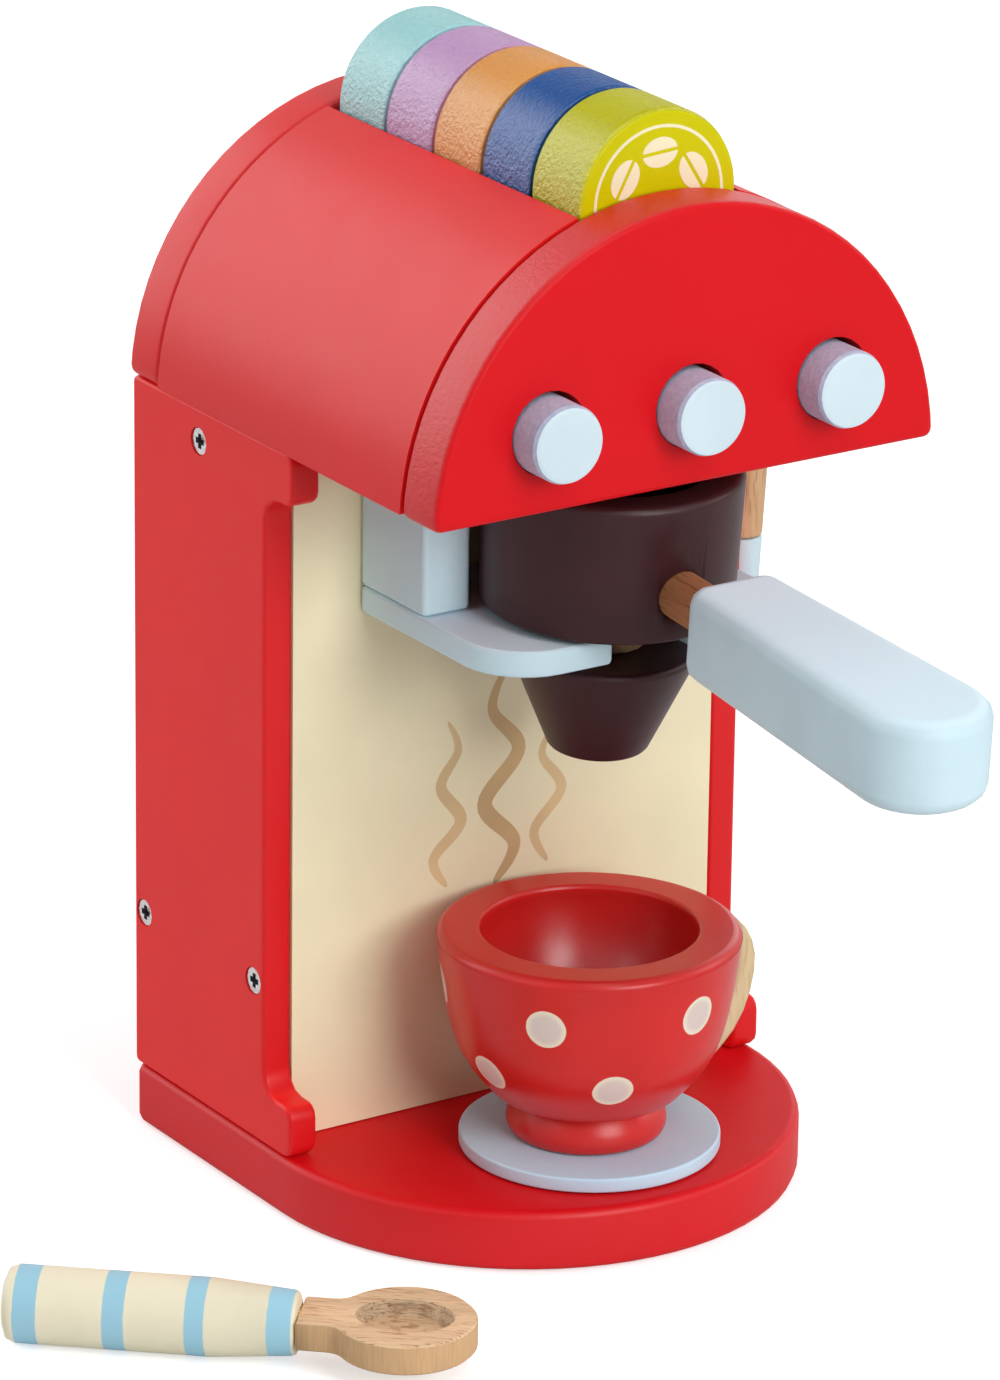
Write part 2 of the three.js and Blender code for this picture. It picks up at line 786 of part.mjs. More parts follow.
function basket() {
  const body = turned([
    [0, spigotUp + seam],
    [spigotRadius + seam, spigotUp + seam],
    [spigotRadius + seam, 0],
    [basketFoot, 0, basketEdge],
    [basketTop, basketHeight, basketRim],
    [seatRadius, basketHeight, basketEdge],
    [seatRadius, basketFloor, basketEdge],
    [0, basketFloor],
  ]);
  const wall = basketFoot - dowelSeat - seam;
  const hole = rod(dowelRadius + seam, at(0, -wall, handleRise), at(0, -basketTop - overrun, handleRise));
  return piece('holder_basket', darkPaint, body, at(0, 0, 0), [hole]);
}

function holderCollar() {
  const body = turned(
    [
      [0, -spigotDown],
      [spigotRadius, -spigotDown],
      [spigotRadius, 0],
      [collarRadius, 0],
      [collarRadius, collarLength],
      [spigotRadius, collarLength],
      [spigotRadius, collarLength + spigotUp],
      [0, collarLength + spigotUp],
    ],
    plain,
  );
  return piece('holder_collar', beech, body, at(0, 0, -seam - collarLength));
}

function spout() {
  const body = turned([
    [0, 0],
    [spoutTip, 0, spoutEdge],
    [spoutTop, spoutHeight, spoutEdge],
    [spigotRadius + seam, spoutHeight],
    [spigotRadius + seam, spoutHeight - spigotDown - seam],
    [0, spoutHeight - spigotDown - seam],
  ]);
  return piece('holder_spout', darkPaint, body, at(0, 0, -collarLength - 2 * seam - spoutHeight));
}

function handleDowel() {
  const from = at(0, dowelSeat - basketFoot, handleRise);
  const to = from.clone().setY(-gripStart - dowelDepth);
  return piece('handle_dowel', beech, rod(dowelRadius, from, to));
}

function grip() {
  const near = -gripStart;
  const far = near - gripLength;
  const gripNose = gripNoseShare * gripFar;
  const outline = rounded(
    [
      [-gripNear / 2, near, gripCorner],
      [-gripFar / 2, far, gripNose],
      [gripFar / 2, far, gripNose],
      [gripNear / 2, near, gripCorner],
    ],
    8,
  );
  const mouth = at(0, near + overrun, handleRise);
  const hole = rod(dowelRadius + seam, mouth, at(0, near - dowelDepth - seam, handleRise));
  const body = flat(outline, gripThickness, gripEdge, 3);
  return piece('handle_grip', bluePaint, body, at(0, 0, handleRise - gripThickness / 2), [hole]);
}

// Drip disc and cup

function dripDisc() {
  const body = turned([
    [0, 0],
    [discRadius, 0, discEdge],
    [discRadius, discThickness, discEdge],
    [0, discThickness],
  ]);
  return piece('drip_disc', discPaint, body, at(0, discY, baseThickness + seam));
}

// The cup's outside, from its foot to its rim, `grow` outside its real surface.
function cupOutside(grow) {
  const side = cupSideShares.map(([out, up]) => [out * cupRadius + grow, up * cupHeight]);
  side[0][1] -= grow;
  return [...side, [cupRadius - cupRimEdge + grow, cupHeight + grow]];
}

function cupBody() {
  const steps = 6;
  const depth = cupDepth - cupMouthEdge;
  const bowl = Array.from({ length: steps + 1 }, (_, step) => {
    const angle = (step * Math.PI) / 2 / steps;
    return [cupMouth * Math.cos(angle), cupHeight - cupMouthEdge - depth * Math.sin(angle)];
  });
  bowl[steps][0] = 0;
  return turned([[0, 0], ...cupOutside(0), [cupMouth + cupMouthEdge, cupHeight], ...bowl], fine);
}

// The cup's handle: a C-shaped ear of one thickness, seated on the bowl.
function cupEar() {
  const reach = cupRadius + earProud;
  const curve = (shares) => {
    const points = shares.map(([out, up]) => new THREE.Vector2(out * reach, up * cupHeight));
    return new THREE.SplineCurve(points).getPoints(earCurves).reverse();
  };
  const outline = [...curve(earOutsideShares), ...curve(earInsideShares)];
  const ear = upright(outline, earThickness, earEdge).translate(0, earThickness / 2, 0);
  const seat = turned([[0, -seam], ...cupOutside(seam), [0, cupHeight + seam]], fine);
  return cut(ear, [seat]);
}

function cup() {
  const group = new THREE.Group();
  group.position.set(-cupLeft, discY + cupBack, baseThickness + discThickness + 2 * seam);
  group.rotation.z = cupTurn;
  group.add(piece('cup_body', redPaint, cupBody()), piece('cup_handle', beech, cupEar()));
  return group;
}

// Scoop, in a group along its own axis (+X) from the handle's butt

function scoopHandle() {
  const body = turned([
    [0, 0],
    [scoopRadius, 0, scoopButt],
    [scoopRadius, scoopStraight, scoopShoulder],
    [scoopNeckRadius, scoopHandleLength, scoopEnd],
    [tenonRadius + seam, scoopHandleLength],
    [tenonRadius + seam, scoopHandleLength - tenonLength - seam],
    [0, scoopHandleLength - tenonLength - seam],
  ], medium);
  return piece('scoop_handle', scoopPaint, body.rotateY(Math.PI / 2));
}

function scoopHead() {
  const start = scoopHandleLength + seam;
  const half = neckWidth / 2;
  const filletY = half + neckFillet;
  const filletX = bowlReach - Math.sqrt((bowlRadius + neckFillet) ** 2 - filletY ** 2);
  const flare = Math.atan2(filletY, bowlReach - filletX);
  const outline = [
    new THREE.Vector2(start, -half),
    ...arc(filletX, -filletY, neckFillet, Math.PI / 2, flare, 4),
    ...arc(bowlReach, 0, bowlRadius, flare - Math.PI, Math.PI - flare, fine).slice(1, -1),
    ...arc(filletX, filletY, neckFillet, -flare, -Math.PI / 2, 4),
    new THREE.Vector2(start, half),
  ];
  const body = flat(outline, bowlThickness, bowlEdge, 1).translate(0, 0, -bowlThickness / 2);
  const tenon = rod(tenonRadius, at(start - tenonLength, 0, 0), at(start + overrun, 0, 0), coarse);
  const floor = bowlThickness / 2 - recessDepth;
  const recess = rod(recessWidth / 2, at(0, 0, floor), at(0, 0, bowlThickness));
  recess.scale(recessLength / recessWidth, 1, 1);
  return piece('scoop_head', beech, join(body, tenon), at(0, 0, 0), [recess.translate(bowlReach, 0, 0)]);
}

function scoop() {
  const group = new THREE.Group();
  group.position.set(-scoopLeft, -scoopFront, scoopRadius);
  group.rotation.z = scoopTurn;
  group.add(scoopHandle(), scoopHead());
  return group;
}

// Steam wand: a peg through the right side panel carries a turned handle with a painted tip

const wandY = backFace - wandBack;
const pivotZ = panelTop - wandPivotDrop;
const pegEnd = bodyWidth / 2 + wandOut + wandTopRadius + play;

function pegHole() {
  const inner = at(bodyWidth / 2 - pegSunk - seam, wandY, pivotZ);
  return rod(pegRadius + seam, inner, at(bodyWidth / 2 + overrun, wandY, pivotZ), coarse);
}

function wandPeg() {
  const length = pegEnd - bodyWidth / 2 + pegSunk;
  const body = turned([
    [0, 0],
    [pegRadius, 0],
    [pegRadius, length],
    [pegHead, length],
    [pegHead, length + pegHeadThickness, pegHeadEdge],
    [0, length + pegHeadThickness],
  ], medium);
  return piece('wand_peg', beech, body.rotateY(Math.PI / 2), at(bodyWidth / 2 - pegSunk, wandY, pivotZ));
}

function wand() {
  const group = new THREE.Group();
  group.position.set(bodyWidth / 2 + wandOut, wandY, pivotZ);
  const handle = turned([
    [0, -wandHandleDrop + wandSpigotLength + seam],
    [wandSpigot + seam, -wandHandleDrop + wandSpigotLength + seam],
    [wandSpigot + seam, -wandHandleDrop],
    [wandSeamRadius, -wandHandleDrop, wandSeamEdge],
    [wandTopRadius, 0],
    [wandTopRadius, wandCrown, wandEdge],
    [0, wandCrown],
  ], medium);
  const reach = wandTopRadius + overrun;
  const eye = rod(pegRadius + play, at(-reach, 0, 0), at(reach, 0, 0));
  const tipTop = -wandHandleDrop - seam;
  const tip = turned([
    [0, tipTop - wandTipLength],
    [wandTipRadius, tipTop - wandTipLength, wandPointEdge],
    [wandSeamRadius, tipTop, wandTipEdge],
    [wandSpigot, tipTop],
    [wandSpigot, tipTop + wandSpigotLength],
    [0, tipTop + wandSpigotLength],
  ], medium);
  group.add(piece('wand_handle', beech, handle, at(0, 0, 0), [eye]), piece('wand_tip', bluePaint, tip));
  return group;
}

// The whole toy

function roof() {
  const group = new THREE.Group();
  group.position.z = roofUnderside;
  group.add(
    roofPlate('roof_back_plate', backPlateThickness, at(0, backFace, 0), 0, []),
    frontPlate(),
    roofShell('roof_shell_left', -1),
    roofShell('roof_shell_right', 1),
    roofFloor(),
    ...troughPieces(),
    springBoard(),
    ...buttons(),
    ...pods(),
  );
  return group;
}

function holder() {
  const group = new THREE.Group();
  group.position.set(0, holderY, forkTop + holderLift);
  group.rotation.x = holderTilt;
  group.add(basket(), holderCollar(), spout(), handleDowel(), grip());
  return group;
}

function screws() {
  const sets = {
    side_screw: allSideScrews,
    base_screw: allFootScrews,
    fork_screw: forkScrews,
    roof_screw: roofScrews,
  };
  return Object.entries(sets).flatMap(([name, places]) =>
    places.map((item, index) => screw(`${name}_${index + 1}`, item)),
  );
}

const coffeeMaker = new THREE.Group();
coffeeMaker.add(
  basePlate(),
  sidePanel('side_panel_left', -1),
  sidePanel('side_panel_right', 1),
  ...crossBoards(),
  roof(),
  bracketBlock('bracket_block_left', -1),
  bracketBlock('bracket_block_right', 1),
  forkPlate(),
  holder(),
  dripDisc(),
  cup(),
  scoop(),
  wandPeg(),
  wand(),
  ...screws(),
);

export default coffeeMaker;
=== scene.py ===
# Looks of a wooden toy coffee maker: finishes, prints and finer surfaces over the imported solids.
# Metres, +Z up, the front faces -Y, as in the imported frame.
import json
import math

import bmesh
import bpy
from mathutils import Matrix, Vector


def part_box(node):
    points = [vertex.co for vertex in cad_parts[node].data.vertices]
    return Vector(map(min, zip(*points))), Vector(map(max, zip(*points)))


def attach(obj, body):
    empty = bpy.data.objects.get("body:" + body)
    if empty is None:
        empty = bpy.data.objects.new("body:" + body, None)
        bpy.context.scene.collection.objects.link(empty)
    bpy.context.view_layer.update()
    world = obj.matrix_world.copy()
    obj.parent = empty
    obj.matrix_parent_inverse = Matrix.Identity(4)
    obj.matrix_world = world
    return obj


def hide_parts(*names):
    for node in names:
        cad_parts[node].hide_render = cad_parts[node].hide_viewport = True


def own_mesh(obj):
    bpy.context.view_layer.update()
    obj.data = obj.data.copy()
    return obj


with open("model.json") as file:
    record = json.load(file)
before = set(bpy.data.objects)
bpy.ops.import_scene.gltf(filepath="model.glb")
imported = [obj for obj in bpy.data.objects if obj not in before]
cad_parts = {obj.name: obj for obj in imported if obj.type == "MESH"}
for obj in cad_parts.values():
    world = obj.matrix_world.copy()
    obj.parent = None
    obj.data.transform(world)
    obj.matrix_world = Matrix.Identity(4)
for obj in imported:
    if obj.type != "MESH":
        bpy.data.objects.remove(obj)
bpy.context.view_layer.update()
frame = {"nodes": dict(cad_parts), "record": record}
NODES = frame["nodes"]
BEHAVIOUR = frame["record"]["behaviour"]
BODY_OF = {node: body for body, nodes in BEHAVIOUR["bodies"].items() for node in nodes}
JOINTS = {joint["name"]: joint for joint in BEHAVIOUR["joints"]}
SLOT_OF = {part["node"]: part["material_slot"] for part in frame["record"]["subparts"]}
MM = 0.001
FRONT, UP = (0, -1, 0), (0, 0, 1)


def linear(srgb):
    """A colour written as 0..255 numbers, as the shader's linear values."""
    return tuple(
        v / 255 / 12.92 if v <= 10.31 else ((v / 255 + 0.055) / 1.055) ** 2.4 for v in srgb
    ) + (1.0,)


def middle(node):
    """The middle of a node's box."""
    low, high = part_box(node)
    return (low + high) / 2


# Camera, solved from the photo: its direction, its focal length and optical centre in photo pixels, and its
# distance from its target and shift off the line to it
AZIMUTH, ELEVATION, ROLL = (math.radians(v) for v in (-33.40437, 20.104, 0.79071))
FOCAL_PX, CENTRE_PX = 7632.6252, (509.27901, 670.53283)
WIDTH_PX, HEIGHT_PX = 1000, 1380
DISTANCE, ASIDE, ABOVE = 1.88499359, -0.00343111, -0.0088488
TARGET = Vector((0, 0.0015, 0.14))
SENSOR_MM, CLIP_END = 36, 50


def make_camera():
    back = Vector((
        math.sin(AZIMUTH) * math.cos(ELEVATION),
        -math.cos(AZIMUTH) * math.cos(ELEVATION),
        math.sin(ELEVATION),
    ))
    level = Vector(UP).cross(back).normalized()
    up = back.cross(level)
    right = level * math.cos(ROLL) + up * math.sin(ROLL)
    up = up * math.cos(ROLL) - level * math.sin(ROLL)
    data = bpy.data.cameras.new("camera")
    data.sensor_width = SENSOR_MM
    data.lens = FOCAL_PX / HEIGHT_PX * SENSOR_MM
    data.shift_x = (WIDTH_PX / 2 - CENTRE_PX[0]) / HEIGHT_PX
    data.shift_y = (CENTRE_PX[1] - HEIGHT_PX / 2) / HEIGHT_PX
    data.clip_end = CLIP_END
    camera = bpy.data.objects.new("camera", data)
    bpy.context.scene.collection.objects.link(camera)
    turn = Matrix((right, up, back)).transposed().to_4x4()
    place = TARGET + right * ASIDE + up * ABOVE + back * DISTANCE
    camera.matrix_world = Matrix.Translation(place) @ turn
    bpy.context.scene.camera = camera


# Materials


class Finish:
    """A node material: a Principled shader and short calls that add what feeds it."""

    def __init__(self, name, roughness, specular, metallic=0.0):
        self.material = bpy.data.materials.new(name)
        self.material.use_nodes = True
        self.tree = self.material.node_tree
        self.tree.nodes.clear()
        self.out = self.add("ShaderNodeOutputMaterial")
        self.shader = self.add("ShaderNodeBsdfPrincipled")
        self.shader.inputs["Roughness"].default_value = roughness
        self.shader.inputs["Specular IOR Level"].default_value = specular
        self.shader.inputs["Metallic"].default_value = metallic
        self.link(self.shader.outputs[0], self.out.inputs["Surface"])
        self.place = self.add("ShaderNodeTexCoord").outputs["Object"]

    def add(self, kind, **values):
        node = self.tree.nodes.new(kind)
        for key, value in values.items():
            setattr(node, key, value)
        return node

    def link(self, source, target):
        self.tree.links.new(source, target)

    def sum(self, operation, *sources):
        node = self.add("ShaderNodeMath", operation=operation)
        for socket, source in zip(node.inputs, sources):
            if isinstance(source, (int, float)):
                socket.default_value = source
            else:
                self.link(source, socket)
        return node.outputs[0]

    def stretched(self, scale, turn=(0, 0, 0)):
        """Object coordinates turned, then stretched, for grain that runs along a board."""
        vector = self.place
        for key, value in (("Rotation", turn), ("Scale", scale)):
            node = self.add("ShaderNodeMapping", vector_type="POINT")
            node.inputs[key].default_value = value
            self.link(vector, node.inputs["Vector"])
            vector = node.outputs[0]
        return vector

    def noise(self, scale, detail=2.0, roughness=0.5, vector=None, distortion=0.0):
        node = self.add("ShaderNodeTexNoise")
        node.inputs["Scale"].default_value = scale
        node.inputs["Detail"].default_value = detail
        node.inputs["Roughness"].default_value = roughness
        node.inputs["Distortion"].default_value = distortion
        self.link(self.place if vector is None else vector, node.inputs["Vector"])
        return node.outputs["Fac"]

    def remap(self, source, low, high, to_low=0.0, to_high=1.0):
        node = self.add("ShaderNodeMapRange", interpolation_type="SMOOTHSTEP")
        ends = {"From Min": low, "From Max": high, "To Min": to_low, "To Max": to_high}
        for key, value in ends.items():
            node.inputs[key].default_value = value
        self.link(source, node.inputs["Value"])
        return node.outputs[0]

    def blend(self, factor, first, second):
        node = self.add("ShaderNodeMix", data_type="RGBA")
        self.link(factor, node.inputs["Factor"])
        for socket, source in ((node.inputs[6], first), (node.inputs[7], second)):
            if isinstance(source, tuple):
                socket.default_value = source
            else:
                self.link(source, socket)
        return node.outputs[2]

    def mottle(self, source, first, second, levels=(0.3, 0.7)):
        """Two colours, each three numbers of 0..255, blended as a source goes between two levels."""
        return self.blend(self.remap(source, *levels), linear(first), linear(second))

    def wobble(self, source, scale, reach):
        """A length made a little uneven."""
        return self.sum("ADD", source, self.remap(self.noise(scale, 1), 0.3, 0.7, -reach, reach))

    def distance(self, point):
        node = self.add("ShaderNodeVectorMath", operation="DISTANCE")
        self.link(self.place, node.inputs[0])
        node.inputs[1].default_value = point
        return node.outputs["Value"]

    def along(self, start, direction, vector=None):
        """How far a surface point, or a vector's tip, lies along a direction from a start point."""
        node = self.add("ShaderNodeVectorMath", operation="DOT_PRODUCT")
        self.link(self.place if vector is None else vector, node.inputs[0])
        node.inputs[1].default_value = direction
        return self.sum("SUBTRACT", node.outputs["Value"], Vector(start).dot(Vector(direction)))

    def facing(self, way=FRONT):
        """How far a surface faces the front, or another way."""
        return self.along((0, 0, 0), way, self.add("ShaderNodeTexCoord").outputs["Normal"])

    def colour(self, source):
        self.link(source, self.shader.inputs["Base Color"])

    def roughness(self, source):
        self.link(source, self.shader.inputs["Roughness"])

    def gloss(self, source):
        self.link(source, self.shader.inputs["Specular IOR Level"])

    def bump(self, *layers):
        """Layers are (height, depth in metres), one on the next."""
        normal = None
        for height, depth in layers:
            node = self.add("ShaderNodeBump")
            node.inputs["Strength"].default_value = 1.0
            node.inputs["Distance"].default_value = depth
            self.link(height, node.inputs["Height"])
            if normal is not None:
                self.link(normal, node.inputs["Normal"])
            normal = node.outputs[0]
        self.link(normal, self.shader.inputs["Normal"])


def shade(srgb, share):
    """A colour made darker or lighter."""
    return tuple(min(255, v * share) for v in srgb)


# Noises and reliefs that several finishes share: their features per metre, and their depths in metres
CLOUD_SCALE, SHEEN_SCALE, PEEL_SCALE, GRIT_SCALE = 28, 120, 900, 1500
PEEL_DEPTH, PORE_DEPTH, GRIT_DEPTH = 0.00003, 0.00008, 0.00002


def painted(name, srgb, rough, specular, peel=PEEL_DEPTH, peel_scale=PEEL_SCALE, tone=0.05, barrel=False):
    """Satin paint on wood, its coat uneven and its surface like orange peel.

    On a barrel the peel fades towards the front face, and the gloss towards the front and the top.
    """
    finish = Finish(name, rough, specular)
    coat = finish.mottle(finish.noise(CLOUD_SCALE, 3), shade(srgb, 1 - tone), shade(srgb, 1 + tone))
    finish.colour(coat)
    finish.roughness(finish.remap(finish.noise(SHEEN_SCALE, 2), 0.25, 0.75, rough - 0.015, rough + 0.02))
    if barrel:
        front = finish.remap(finish.facing(), 0.6, 0.95, 1, 0.12)
        top = finish.remap(finish.facing(UP), 0.58, 0.9, 1, 0.06)
        fine = finish.sum("MULTIPLY", finish.noise(peel_scale, 3, 0.6), front)
        finish.gloss(finish.sum("MULTIPLY", finish.sum("MULTIPLY", front, top), specular))
    else:
        fine = finish.noise(peel_scale, 2, 0.55)
    finish.bump((fine, peel))
    return finish, coat


def plain_coat(name, *args, **values):
    return painted(name, *args, **values)[0].material


def grained(name, pale, dark, along, turn=(0, 0, 0), finer=(1.7, 1.7, 1.7)):
    """Sanded beech before its flecks: the finish, its pores, its rays, and its colour of bands and pores."""
    finish = Finish(name, 0.62, 0.25)
    long, short = along
    bands = finish.noise(1, 3, 0.55, finish.stretched(short, turn), 0.3)
    pores = finish.noise(1, 3, 0.7, finish.stretched(long, turn))
    rays = finish.noise(1, 1, 0.4, finish.stretched(tuple(v * w for v, w in zip(long, finer)), turn))
    base = finish.mottle(bands, pale, shade(pale, 0.9), (0.32, 0.68))
    streaked = finish.blend(finish.remap(pores, 0.5, 0.75, 0, 0.6), base, linear(dark))
    return finish, pores, rays, streaked


def flecked(finish, pores, rays, streaked, dark, fleck):
    """Adds the short dark flecks of the rays, and the relief."""
    flecks = finish.remap(rays, 0.6, 0.68, 0, fleck)
    finish.colour(finish.blend(flecks, streaked, linear(shade(dark, 0.85))))
    finish.roughness(finish.remap(pores, 0.3, 0.7, 0.55, 0.72))
    finish.bump((pores, PORE_DEPTH), (finish.noise(GRIT_SCALE, 2), GRIT_DEPTH))
    return finish.material


def bare_wood(name, pale, dark, along, fleck):
    return flecked(*grained(name, pale, dark, along), dark, fleck)


def steel():
    finish = Finish("steel", 0.3, 0.5, 1.0)
    finish.colour(finish.mottle(finish.noise(900, 2), (214, 215, 217), (242, 242, 243)))
    finish.roughness(finish.remap(finish.noise(2500, 2), 0.3, 0.7, 0.18, 0.3))
    finish.bump((finish.noise(1800, 2), GRIT_DEPTH))
    return finish.material


def recess_shade():
    """The dark inside of a screw's cross: painted shade."""
    finish = Finish("recess", 0.55, 0.3, 0.4)
    finish.colour(finish.mottle(finish.noise(GRIT_SCALE, 2), (30, 30, 34), (58, 58, 62)))
    return finish.material


# Cup: where it stands, its wall as (radius, height) in mm from its foot, and its mouth and bowl in mm
CUP_MIDDLE, CUP_FOOT = middle("cup_body"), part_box("cup_body")[0].z
CUP_WALL = [(27.4, 15.6), (30.3, 19.6), (32.7, 24.2), (34.6, 30.5), (36, 37.9), (37.1, 46.1), (37.8, 51.1)]
MOUTH_RADIUS, MOUTH_HEIGHT, BOWL_DEPTH = 27, 52.6, 34
# The bowl's gloss and painted shade end between these distances from the mouth's middle, and between these
# heights over it
CUP_MOUTH = (CUP_MIDDLE.x, CUP_MIDDLE.y, CUP_FOOT + MOUTH_HEIGHT * MM)
BOWL_WALL, BOWL_LIP = (34.5 * MM, 35.2 * MM), (-1.2 * MM, -0.4 * MM)
# Painted dots as (degrees round the cup, height in mm), their size, and the blur and wobble of their edges
CUP_DOTS = [
    (-140.4, 40.2), (-76.2, 40.3), (153.7, 39.8), (91, 40), (41, 40.3), (-20, 39.9),
    (-172.5, 22.7), (-112.4, 22.6), (67.5, 22.8), (127.5, 22.6),
]
DOT_RADIUS, DOT_BLUR, DOT_WOBBLE = 5.1 * MM, 0.12 * MM, 0.03 * MM


def cup_point(radius, height, turn):
    """A place round the cup's axis: a radius and a height over its foot in mm, and a turn in radians."""
    return (
        CUP_MIDDLE.x + radius * MM * math.cos(turn),
        CUP_MIDDLE.y + radius * MM * math.sin(turn),
        CUP_FOOT + height * MM,
    )


def wall_radius(height):
    """The radius of the cup's wall at a height between two points of its section."""
    low, high = next(pair for pair in zip(CUP_WALL, CUP_WALL[1:]) if height <= pair[1][1])
    return low[0] + (high[0] - low[0]) * (height - low[1]) / (high[1] - low[1])


def nearest_dot(finish):
    """The distance from a point of the surface to the closest dot's centre, a little uneven."""
    nearest = None
    for degrees, height in CUP_DOTS:
        away = finish.distance(cup_point(wall_radius(height), height, math.radians(degrees)))
        nearest = away if nearest is None else finish.sum("MINIMUM", nearest, away)
    return finish.wobble(nearest, 500, DOT_WOBBLE)


def cup_paint():
    """Glossy red with pale dots, glossier in the bowl and duller on the flat of the rim; the darker red in the
    bowl is painted shade.
    """
    finish, coat = painted("cup_paint", (213, 34, 31), 0.31, 0.42, peel=GRIT_DEPTH, peel_scale=650, tone=0.03)
    away = nearest_dot(finish)
    inside = finish.remap(away, DOT_RADIUS - DOT_BLUR, DOT_RADIUS + DOT_BLUR, 1, 0)
    dot = finish.mottle(away, (226, 208, 200), (242, 230, 208), (DOT_RADIUS * 0.62, DOT_RADIUS * 0.95))
    bowl = finish.sum(
        "MULTIPLY",
        finish.remap(finish.distance(CUP_MOUTH), *BOWL_WALL, 1, 0),
        finish.remap(finish.along(CUP_MOUTH, UP), *BOWL_LIP, 1, 0),
    )
    rim = finish.remap(finish.facing(UP), 0.9, 0.99, 0.42, 0.27)
    finish.gloss(finish.sum("ADD", rim, finish.sum("MULTIPLY", bowl, 0.34)))
    # The darker red inside the bowl is painted shade
    finish.colour(finish.blend(inside, finish.blend(bowl, coat, linear((202, 26, 23))), dot))
    return finish.material


# Scoop: its turn on the table, the middle of its butt, and how far from there the middle of its hollow lies
SCOOP_TURN = math.radians(-41.1)
SCOOP_AXIS = (math.cos(SCOOP_TURN), math.sin(SCOOP_TURN), 0)
SCOOP_BUTT = (-163.7 * MM, -26.1 * MM, middle("scoop_handle").z)
HOLLOW_ALONG = 96.5 * MM
SCOOP_HOLLOW = (
    SCOOP_BUTT[0] + HOLLOW_ALONG * SCOOP_AXIS[0],
    SCOOP_BUTT[1] + HOLLOW_ALONG * SCOOP_AXIS[1],
    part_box("scoop_head")[1].z,
)
# The hollow's finish ends between these distances from its middle, and between these heights over it
HOLLOW_WALL, HOLLOW_LIP = (13.5 * MM, 14.5 * MM), (-1.2 * MM, -0.6 * MM)
# Painted bands in mm from the butt, and the blur and wobble of their edges
SCOOP_BANDS = [(3.2, 8.9), (24.9, 30.1), (44.7, 49.4), (64.3, 70.1)]
BAND_BLUR, BAND_WOBBLE = 0.1, 0.05 * MM


def scoop_paint():
    """Cream with blue bands round the handle."""
    finish, coat = painted("scoop_paint", (241, 233, 205), 0.42, 0.3, peel=0.00005, peel_scale=500, tone=0.03)
    along = finish.wobble(finish.along(SCOOP_BUTT, SCOOP_AXIS), 300, BAND_WOBBLE)
    band = None
    for start, end in SCOOP_BANDS:
        rising = finish.remap(along, (start - BAND_BLUR) * MM, (start + BAND_BLUR) * MM)
        falling = finish.remap(along, (end - BAND_BLUR) * MM, (end + BAND_BLUR) * MM, 1, 0)
        both = finish.sum("MULTIPLY", rising, falling)
        band = both if band is None else finish.sum("MAXIMUM", band, both)
    finish.colour(finish.blend(band, coat, linear((162, 212, 232))))
    return finish.material


def hollow_gouges_and_shade(finish, turn):
    """Where the scoop's hollow is gouged and darker; the darkening is partly painted shade in the recess."""
    hollow = finish.sum(
        "MULTIPLY",
        finish.remap(finish.distance(SCOOP_HOLLOW), *HOLLOW_WALL, 1, 0),
        finish.remap(finish.along(SCOOP_HOLLOW, UP), *HOLLOW_LIP, 1, 0),
    )
    gouges = finish.noise(1, 3, 0.6, finish.stretched((260, 420, 420), turn))
    return finish.sum("MULTIPLY", hollow, finish.remap(gouges, 0.48, 0.64, 0.05, 0.65))


def scoop_wood():
    """Beech whose sides show upright grain in a darker tone, which is partly painted shade, and whose hollow
    is gouged and a little darker, which is partly painted shade in the recess.
    """
    pale, dark, cut_and_shade = (246, 208, 166), (198, 140, 104), (222, 180, 134)
    turn = (0, 0, -SCOOP_TURN)
    along = ((70, 1300, 1300), (10, 120, 120))
    finish, pores, rays, streaked = grained("scoop_beech", pale, dark, along, turn, (2.2, 1.4, 1.4))
    side = finish.remap(finish.facing(UP), 0.1, 0.6, 1, 0)
    upright = finish.noise(1, 4, 0.65, finish.stretched((2200, 2200, 90)))
    # The darker tone of the sides is partly painted shade
    streaked = finish.blend(side, streaked, finish.mottle(upright, shade(cut_and_shade, 0.91), cut_and_shade, (0.25, 0.75)))
    # The darker gouges in the hollow are partly painted shade
    streaked = finish.blend(hollow_gouges_and_shade(finish, turn), streaked, linear(shade(dark, 0.84)))
    rays = finish.sum("SUBTRACT", rays, finish.sum("MULTIPLY", side, 0.2))
    return flecked(finish, pores, rays, streaked, dark, 0.75)


def button_paint():
    """A pale face and a darker, rosier side: the side's colour is painted shade in the button's hole."""
    finish, coat = painted("button_paint", (208, 225, 233), 0.45, 0.25, peel=0.00006, tone=0.02)
    side = finish.mottle(finish.noise(900, 3, 0.6), (172, 188, 214), (194, 204, 228))
    # The side's darker, rosier colour is painted shade
    finish.colour(finish.blend(finish.remap(finish.facing(), 0.35, 0.8), side, coat))
    return finish.material


def blue_paint():
    """Pale blue, lighter on the faces that turn up: painted light from above."""
    finish, coat = painted("blue_paint", (201, 225, 234), 0.45, 0.25, peel=0.00005, tone=0.02)
    # Faces that turn up get a lighter blue: painted light from above
    finish.colour(finish.blend(finish.remap(finish.facing(UP), 0.5, 0.95), coat, linear((220, 243, 253))))
    return finish.material


def base_paint():
    """Red with more gloss on its rounded edge than on its flat top."""
    finish = painted("base_paint", (222, 18, 27), 0.45, 0.4, tone=0.008)[0]
    finish.gloss(finish.remap(finish.facing(UP), 0.4, 0.9, 0.42, 0.12))
    return finish.material


